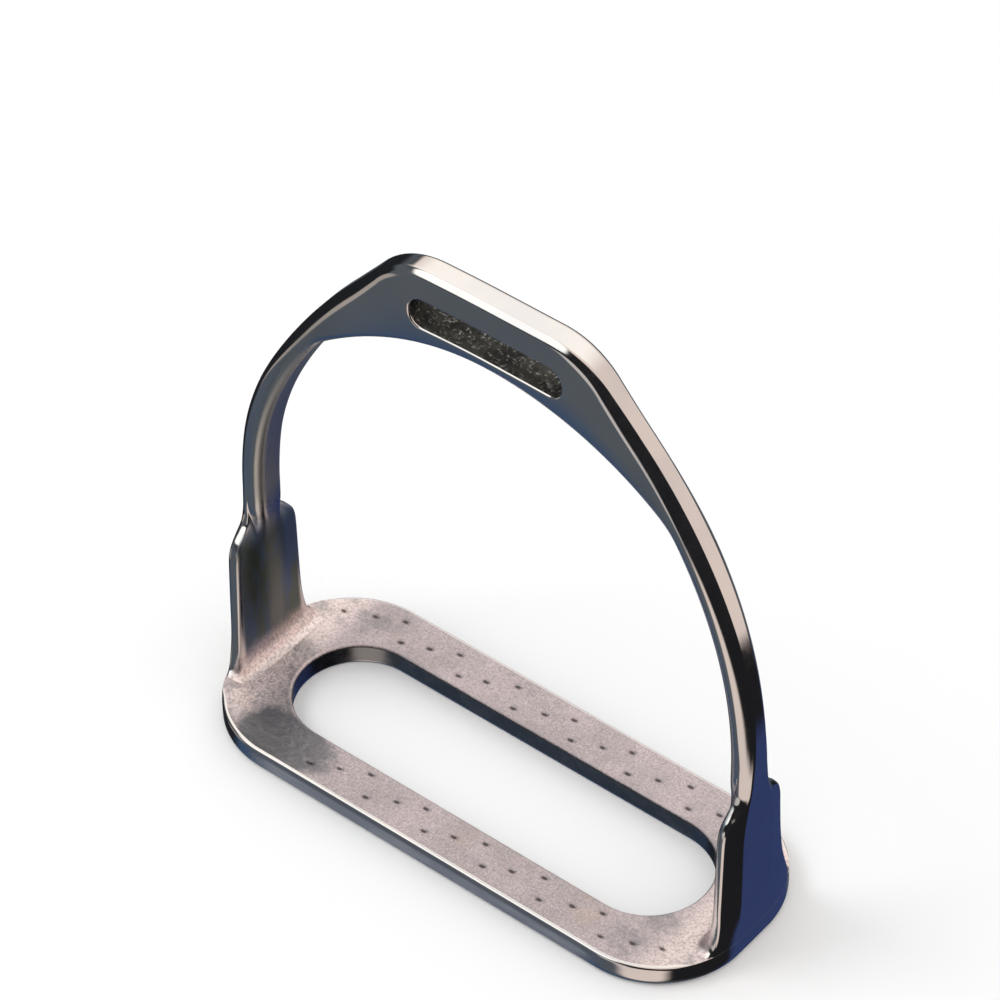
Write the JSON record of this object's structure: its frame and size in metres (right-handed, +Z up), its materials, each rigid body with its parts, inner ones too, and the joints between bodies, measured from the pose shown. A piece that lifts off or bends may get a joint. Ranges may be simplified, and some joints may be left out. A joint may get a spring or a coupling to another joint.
{
  "type": "stirrup iron",
  "caption": "Polished steel stirrup iron with a slotted crown, tapering branches and an open two-bar tread with small grip dimples.",
  "frame": {"origin": "on the ground under the middle of the tread, centre of the overall box", "axes": "+X along the tread from left cheek to right cheek, +Y from the front bar to the back bar, +Z up to the crown"},
  "size_m": [0.135, 0.053, 0.1435],
  "materials": {
    "polished_bow": "mirror-polished stainless steel with the soft waviness of hand polishing",
    "matt_tread": "blasted matt stainless steel, slightly granular, worn brighter along its edges"
  },
  "bodies": {
    "root": {"eye_block": "polished_bow", "left_branch": "polished_bow", "right_branch": "polished_bow", "left_cheek": "polished_bow", "right_cheek": "polished_bow", "left_tread_end": "matt_tread", "right_tread_end": "matt_tread", "front_tread_bar": "matt_tread", "back_tread_bar": "matt_tread"}
  },
  "joints": []
}
